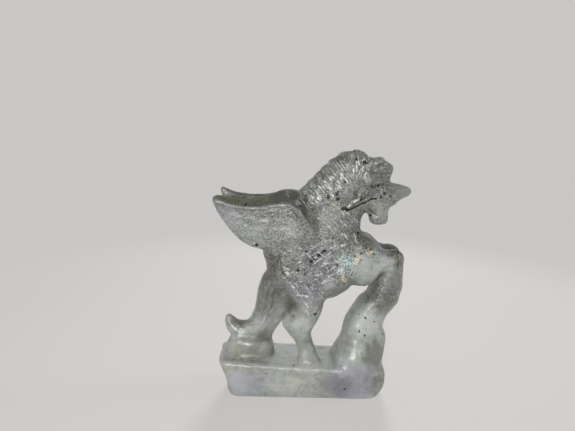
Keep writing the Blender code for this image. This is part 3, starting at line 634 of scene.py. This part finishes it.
def stone_colours_and_painted_light(skin, weight, chalk_and_painted_glints):
    """Where the stone's tints, marks and wear lie, with its painted light, shade and glints: three sets
    of four numbers for each point.
    """
    x, y, z = skin.points.T
    bends = [ripple(skin.points, DRIFT_SIZE, seed) for seed in DRIFT_SEEDS]
    flat = skin.points[:, (0, 2)] + DRIFT * np.stack(bends, axis=1)
    # The wing's bevel above its ridge, painted olive as shade.
    bevel = eased(wing_fields(skin.points)[0], 0.0, BEVEL_RISE) * (x < 0) * (z > BEVEL_ABOVE)
    black = np.clip(MIDDLE + MIDDLE * inked(skin.points), 0, 1)
    deep = MIDDLE
    for strength, rounds in HOLLOWS:
        deep = deep + strength * skin.hollow(rounds)
    rough = eased(z, *SCRATCHED) * (1 - patched(flat, SMOOTHED)) * (1 - BEVEL_SMOOTH * bevel)
    # Upward faces low down are painted paler: painted light.
    painted_top_light = PAINTED_LIGHT_PALE * eased(skin.normals()[:, 2], *PAINTED_LIGHT_FACING) * (z < PAINTED_LIGHT_TOP)
    # The paler and darker patches, partly the stone's clouding and partly painted light and shade.
    cloud = np.clip(MIDDLE + MIDDLE * patched(flat, CLOUDS_AND_PAINTED_SHADING, np.add) + painted_top_light, 0, 1)
    lilac, olive_and_shade, warm, flash = (patched(flat, patches) for patches in (LILAC, OLIVE_AND_PAINTED_SHADE, WARM, FLASH))
    return {
        # The second tint carries the olive places and the bevel's painted shade.
        "tints_and_painted_light": [lilac, np.maximum(olive_and_shade, bevel), warm, flash],
        "marks": [black, patched(flat, GOLD) * (y < 0), np.clip(deep, 0, 1), weight],
        "wear_and_painted_light": [patched(flat, CLUSTERS), chalk_and_painted_glints, rough, cloud],
    }


def boxed(mesh, corners):
    """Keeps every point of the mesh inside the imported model's box."""
    points = np.empty(len(mesh.vertices) * 3, np.float32)
    mesh.vertices.foreach_get("co", points)
    low, high = np.array(corners, np.float32)
    mesh.vertices.foreach_set("co", np.clip(points.reshape(-1, 3), low, high).ravel())
    mesh.update()


def carved_stone(skin, weight, chalk_and_painted_glints, combed, corners):
    """The finished mesh, with the tints, marks, wear and painted light and shade kept on its points."""
    mesh = bpy.data.meshes.new("carved_stone")
    mesh.from_pydata((skin.points * MM).tolist(), [], skin.faces.tolist())
    for name, values in stone_colours_and_painted_light(skin, weight, chalk_and_painted_glints).items():
        layer = mesh.attributes.new(name, "FLOAT_COLOR", "POINT")
        layer.data.foreach_set("color", np.stack(values, axis=1).astype(np.float32).ravel())
    layer = mesh.attributes.new("combed", "FLOAT_VECTOR", "POINT")
    layer.data.foreach_set("vector", combed.astype(np.float32).ravel())
    rough = bpy.data.objects.new("rough", mesh)
    bpy.context.scene.collection.objects.link(rough)
    reduce = rough.modifiers.new("reduce", "DECIMATE")
    reduce.ratio = MOST_TRIANGLES / (2 * len(skin.faces))
    done = bpy.data.meshes.new_from_object(rough.evaluated_get(bpy.context.evaluated_depsgraph_get()))
    bpy.data.objects.remove(rough)
    boxed(done, corners)
    done.materials.clear()
    done.materials.append(labradorite())
    done.shade_smooth()
    stone = bpy.data.objects.new("carved_stone", done)
    bpy.context.scene.collection.objects.link(stone)
    return stone


def tone(red, green, blue):
    """A colour given in the levels of a screen, as linear light."""
    screen = Color((red / WHITE, green / WHITE, blue / WHITE))
    return (*screen.from_srgb_to_scene_linear(), 1.0)


class Tree:
    """A material's nodes, added one at a time with their links."""

    def __init__(self, material):
        material.use_nodes = True
        self.nodes = material.node_tree.nodes
        self.links = material.node_tree.links

    def add(self, kind, sockets=(), **settings):
        node = self.nodes.new("ShaderNode" + kind)
        for name, value in settings.items():
            setattr(node, name, value)
        for name, value in dict(sockets).items():
            if isinstance(value, bpy.types.NodeSocket):
                self.links.new(value, node.inputs[name])
            else:
                node.inputs[name].default_value = value
        return node

    def math(self, operation, *values):
        return self.add("Math", dict(enumerate(values)), operation=operation, use_clamp=False).outputs[0]

    def rise(self, value, low, high):
        """0 below low, 1 above high."""
        sockets = {"Value": value, "From Min": low, "From Max": high}
        return self.add("MapRange", sockets, interpolation_type="SMOOTHSTEP").outputs[0]

    def mix(self, share, first, second, blend="MIX"):
        sockets = {0: share, 6: first, 7: second}
        return self.add("Mix", sockets, data_type="RGBA", blend_type=blend).outputs[2]

    def kept(self, name):
        """The four numbers kept on the points under that name."""
        layer = self.add("Attribute", attribute_name=name)
        parts = self.add("SeparateColor", {0: layer.outputs["Color"]})
        return (*parts.outputs, layer.outputs["Alpha"])

    def noise(self, vector, name):
        sockets = dict(zip(("Scale", "Detail", "Roughness", "Distortion"), NOISES[name]))
        return self.add("TexNoise", {"Vector": vector, **sockets}).outputs[0]

    def specks(self, vector, name, by=1.0):
        """Round specks in the cells of a grid: 1 in a speck's middle."""
        scale, share, radius = SPECKS[name]
        cells = self.add("TexVoronoi", {"Vector": vector, "Scale": scale})
        draw = self.add("SeparateColor", {0: cells.outputs["Color"]}).outputs[0]
        chosen = self.math("LESS_THAN", draw, self.math("MULTIPLY", by, share))
        disc = self.rise(cells.outputs["Distance"], radius, radius * SPECK_CORE)
        return self.math("MULTIPLY", disc, chosen)

    def lay(self, colour, name, value, by=1.0):
        """Lays one of the stone's colours over the colour, where the value rises."""
        low, high, share, over = LAYERS[name]
        mask = self.math("MULTIPLY", self.rise(value, low, high), share)
        return self.mix(self.math("MULTIPLY", mask, by), colour, tone(*over))


def labradorite():
    """Grey-green stone clouded with lilac and olive and black specks, with a painted blue and gold
    flash, painted shade in its hollows, and painted highlights and glints.
    """
    material = bpy.data.materials.new("labradorite_carved")
    tree = Tree(material)
    shader = tree.nodes["Principled BSDF"]
    spot = tree.add("TexCoord").outputs["Object"]
    place = tree.add("VectorMath", {0: spot, 3: 1 / MM}, operation="SCALE").outputs[0]
    lilac, olive_and_shade, warm, flash = tree.kept("tints_and_painted_light")
    black, gold, deep, strand = tree.kept("marks")
    # The last of these numbers holds the paler and darker patches: partly clouding, partly painted light
    # and shade.
    clusters, chalk_and_painted_glints, rough, pale = tree.kept("wear_and_painted_light")
    upper = tree.rise(tree.add("SeparateXYZ", {0: place}).outputs[2], *SCRATCHED)
    curd, fine, grain = (tree.noise(place, name) for name in ("curd", "fine", "grain"))

    ground = tree.rise(tree.noise(place, "cloud"), *GROUND_RISE)
    colour = tree.mix(ground, tone(*GROUND_DARK), tone(*GROUND_PALE))
    colour = tree.lay(colour, "pale curd", curd)
    colour = tree.lay(colour, "dark curd", curd)
    colour = tree.lay(colour, "lilac", lilac)
    vein = tree.math("SUBTRACT", tree.noise(place, "vein"), MIDDLE)
    colour = tree.lay(colour, "vein", tree.math("ABSOLUTE", vein))
    # Olive, partly the stone's own and partly painted shade.
    colour = tree.lay(colour, "olive_and_shade", olive_and_shade, tree.rise(fine, *OLIVE_PATCHES))
    colour = tree.lay(colour, "warm", curd, warm)
    # Darker where the patches are dark, partly painted shade.
    colour = tree.lay(colour, "shade", pale)
    # Painted shade in the hollows, stronger on the horse, and a painted highlight on what stands proud.
    colour = tree.lay(colour, "sunk", deep, tree.math("MULTIPLY_ADD", upper, HOLLOW_SHADE_GAIN, HOLLOW_SHADE_LOW))
    colour = tree.lay(colour, "proud", deep)
    colour = tree.mix(upper, colour, tone(*HORSE_SHADE), "MULTIPLY")
    # Milky where the patches are pale, partly painted light.
    colour = tree.lay(colour, "milky", pale, tree.math("MULTIPLY_ADD", curd, MILKY_CURD, MILKY_LEAST))
    colour = tree.lay(colour, "pale grit", grain, rough)
    colour = tree.lay(colour, "dark grit", grain, rough)

    combed = tree.add("Attribute", attribute_name="combed").outputs["Vector"]
    hairs = tree.add("VectorMath", {0: combed, 1: HAIR_FINENESS}, operation="MULTIPLY").outputs[0]
    hair = tree.noise(hairs, "hair")
    # Pale streaks along the strands: painted glints.
    colour = tree.lay(colour, "painted hair glints", hair, strand)
    colour = tree.lay(colour, "dark hair", hair, strand)
    # Chalky scratches and painted glints.
    colour = tree.lay(colour, "chalk_and_painted_glints", fine, chalk_and_painted_glints)
    # Painted glints: white specks where the stone is scratched.
    painted_glints = tree.math("MULTIPLY", tree.specks(place, "painted_glint", rough), PAINTED_GLINT_SHARE)
    colour = tree.mix(painted_glints, colour, tone(*PAINTED_GLINT_TONE))
    # The blue and gold flash: a painted sheen.
    colour = tree.lay(colour, "flash", grain, flash)
    colour = tree.lay(colour, "gold", grain, gold)

    torn = tree.math("MULTIPLY", tree.math("SUBTRACT", grain, MIDDLE), TORN)
    ink = tree.rise(tree.math("ADD", black, torn), *PLACED_EDGE)
    wander = tree.add("TexNoise", {"Vector": place, "Scale": WANDER_SCALE}).outputs[1]
    bent = tree.add("VectorMath", {0: place, 1: wander}, operation="ADD").outputs[0]
    dust = tree.math("MULTIPLY", tree.specks(place, "dust", upper), DUST_SHARE)
    for specks in (tree.specks(bent, "small", clusters), tree.specks(bent, "lone"), dust):
        ink = tree.math("MAXIMUM", ink, specks)
    tree.links.new(tree.mix(ink, colour, tone(*INK_TONE)), shader.inputs["Base Color"])

    dull = tree.math("MULTIPLY_ADD", rough, DULL_SCRATCHED, DULL)
    sunk = tree.rise(deep, *DULL_DEPTH)
    for value, gain in ((fine, DULL_FINE), (sunk, DULL_SUNK), (ink, DULL_INK)):
        dull = tree.math("MULTIPLY_ADD", value, gain, dull)
    tree.links.new(dull, shader.inputs["Roughness"])

    scratches = tree.math("MULTIPLY", grain, SCRATCH_GRAIN)
    scratches = tree.math("MULTIPLY_ADD", fine, SCRATCH_FINE, scratches)
    relief = tree.math("MULTIPLY_ADD", fine, RELIEF_FINE, tree.math("MULTIPLY", hair, strand))
    relief = tree.math("MULTIPLY_ADD", scratches, rough, relief)
    sockets = {"Height": relief, "Distance": BUMP_HEIGHT * MM, "Strength": BUMP_STRENGTH}
    tree.links.new(tree.add("Bump", sockets).outputs[0], shader.inputs["Normal"])
    for name, value in STONE_SHADER.items():
        shader.inputs[name].default_value = value
    return material


def floor():
    """A wide pale floor that melts into the background away from the figurine."""
    radius = FLOOR_RADIUS * MM
    bpy.ops.mesh.primitive_circle_add(vertices=FLOOR_SIDES, radius=radius, fill_type="NGON")
    sheet = bpy.context.object
    sheet.name = "floor"
    material = bpy.data.materials.new("pale_floor")
    tree = Tree(material)
    shader = tree.nodes["Principled BSDF"]
    shader.inputs["Base Color"].default_value = FLOOR_COLOUR
    shader.inputs["Roughness"].default_value = 1.0
    shader.inputs["Specular IOR Level"].default_value = 0.0
    spot = tree.add("TexCoord").outputs["Object"]
    distance = tree.add("VectorMath", {0: spot}, operation="LENGTH").outputs["Value"]
    near, far = FLOOR_FADE
    share = tree.rise(distance, near * MM, far * MM)
    plain = tree.add("Emission", {"Color": tree.mix(share, FLOOR_COLOUR, BACKGROUND)})
    seen = tree.math("MULTIPLY", tree.add("LightPath").outputs["Is Camera Ray"], FLOOR_GLOW)
    shown = tree.math("MAXIMUM", share, seen)
    blend = tree.add("MixShader", {0: shown, 1: shader.outputs[0], 2: plain.outputs[0]})
    tree.links.new(blend.outputs[0], tree.nodes["Material Output"].inputs["Surface"])
    sheet.data.materials.append(material)
    return sheet


def world():
    """Even pale light from all round, behind a plain background."""
    sky = bpy.data.worlds.new("studio")
    bpy.context.scene.world = sky
    tree = Tree(sky)
    rays = tree.add("LightPath")
    seen = tree.math("MAXIMUM", rays.outputs["Is Camera Ray"], rays.outputs["Is Transmission Ray"])
    seen = tree.math("MAXIMUM", seen, rays.outputs["Is Glossy Ray"])
    plain = tree.nodes["Background"]
    plain.inputs["Color"].default_value = BACKGROUND
    lighting = tree.add("Background", {"Color": BACKGROUND, "Strength": AMBIENT})
    blend = tree.add("MixShader", {0: seen, 1: lighting.outputs[0], 2: plain.outputs[0]})
    tree.links.new(blend.outputs[0], tree.nodes["World Output"].inputs["Surface"])


def lamp(name, place, aim, size, power, glossy):
    """A square soft light that faces its aim."""
    light = bpy.data.lights.new(name, "AREA")
    light.size = size * MM
    light.energy = power
    obj = bpy.data.objects.new(name, light)
    obj.location = Vector(place) * MM
    obj.rotation_euler = (Vector(aim) - Vector(place)).to_track_quat("-Z", "Y").to_euler()
    obj.visible_camera = False
    obj.visible_glossy = glossy
    bpy.context.scene.collection.objects.link(obj)


def camera():
    """A camera that sees the figurine as the photograph does."""
    lens = bpy.data.cameras.new("camera")
    lens.sensor_width = SENSOR
    lens.lens = FOCAL_PIXELS / IMAGE_WIDTH * SENSOR
    lens.clip_start = MM
    obj = bpy.data.objects.new("camera", lens)
    tilt = Matrix.Rotation(math.radians(CAMERA_TILT), 4, "X")
    roll = Matrix.Rotation(math.radians(CAMERA_ROLL), 4, "Z")
    obj.matrix_world = Matrix.Translation(Vector(CAMERA_PLACE) * MM) @ tilt @ roll
    bpy.context.scene.collection.objects.link(obj)
    bpy.context.scene.camera = obj


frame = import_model()
cad_box = [list(corner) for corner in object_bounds()]
skin = dense_skin(frame["nodes"][CARVING])
weight, chalk_and_painted_glints, combed = worked(skin)
stone = carved_stone(skin, weight, chalk_and_painted_glints, combed, cad_box)
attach(stone, "root")
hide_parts(CARVING)

floor()
world()
for lamp_values in LAMPS:
    lamp(*lamp_values)
camera()
bpy.context.scene.view_settings.view_transform = "Standard"
